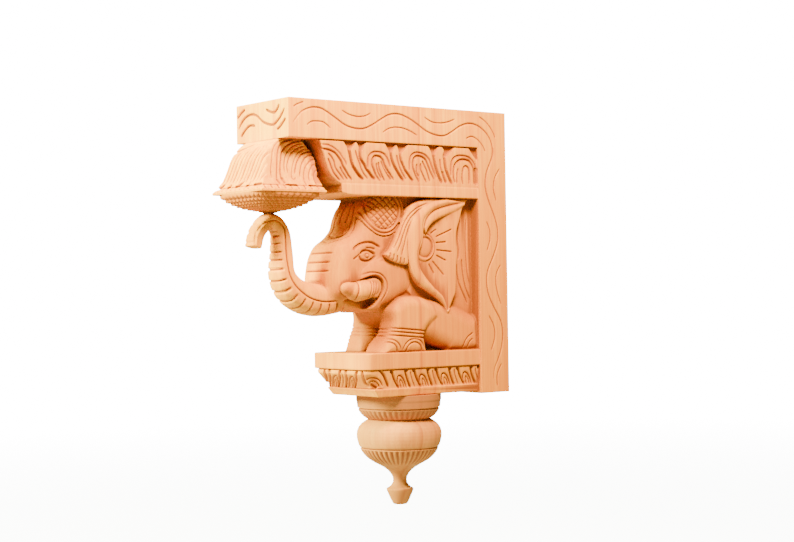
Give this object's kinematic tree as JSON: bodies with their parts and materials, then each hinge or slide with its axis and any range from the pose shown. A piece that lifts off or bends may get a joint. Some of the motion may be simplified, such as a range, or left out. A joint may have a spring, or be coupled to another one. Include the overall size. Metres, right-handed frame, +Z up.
{
  "type": "carved elephant wall bracket",
  "caption": "Carved wooden wall bracket: an elephant with raised trunk between a lotus-capped beam and a leaf-edged platform, with a turned pendant below.",
  "frame": {"origin": "centre of the post's flat back face, where the bracket meets the wall", "axes": "+Z up, +Y into the wall, -Y out into the room along the beam, X across the plank with X = 0 in its middle"},
  "size_m": [0.104, 0.3455, 0.457],
  "materials": {
    "carved_timber": "hand-carved, lightly waxed",
    "turned_timber": "lathe-turned, lightly waxed"
  },
  "bodies": {
    "root": {"carved_bracket": "carved_timber", "turned_pendant": "turned_timber"}
  },
  "joints": []
}
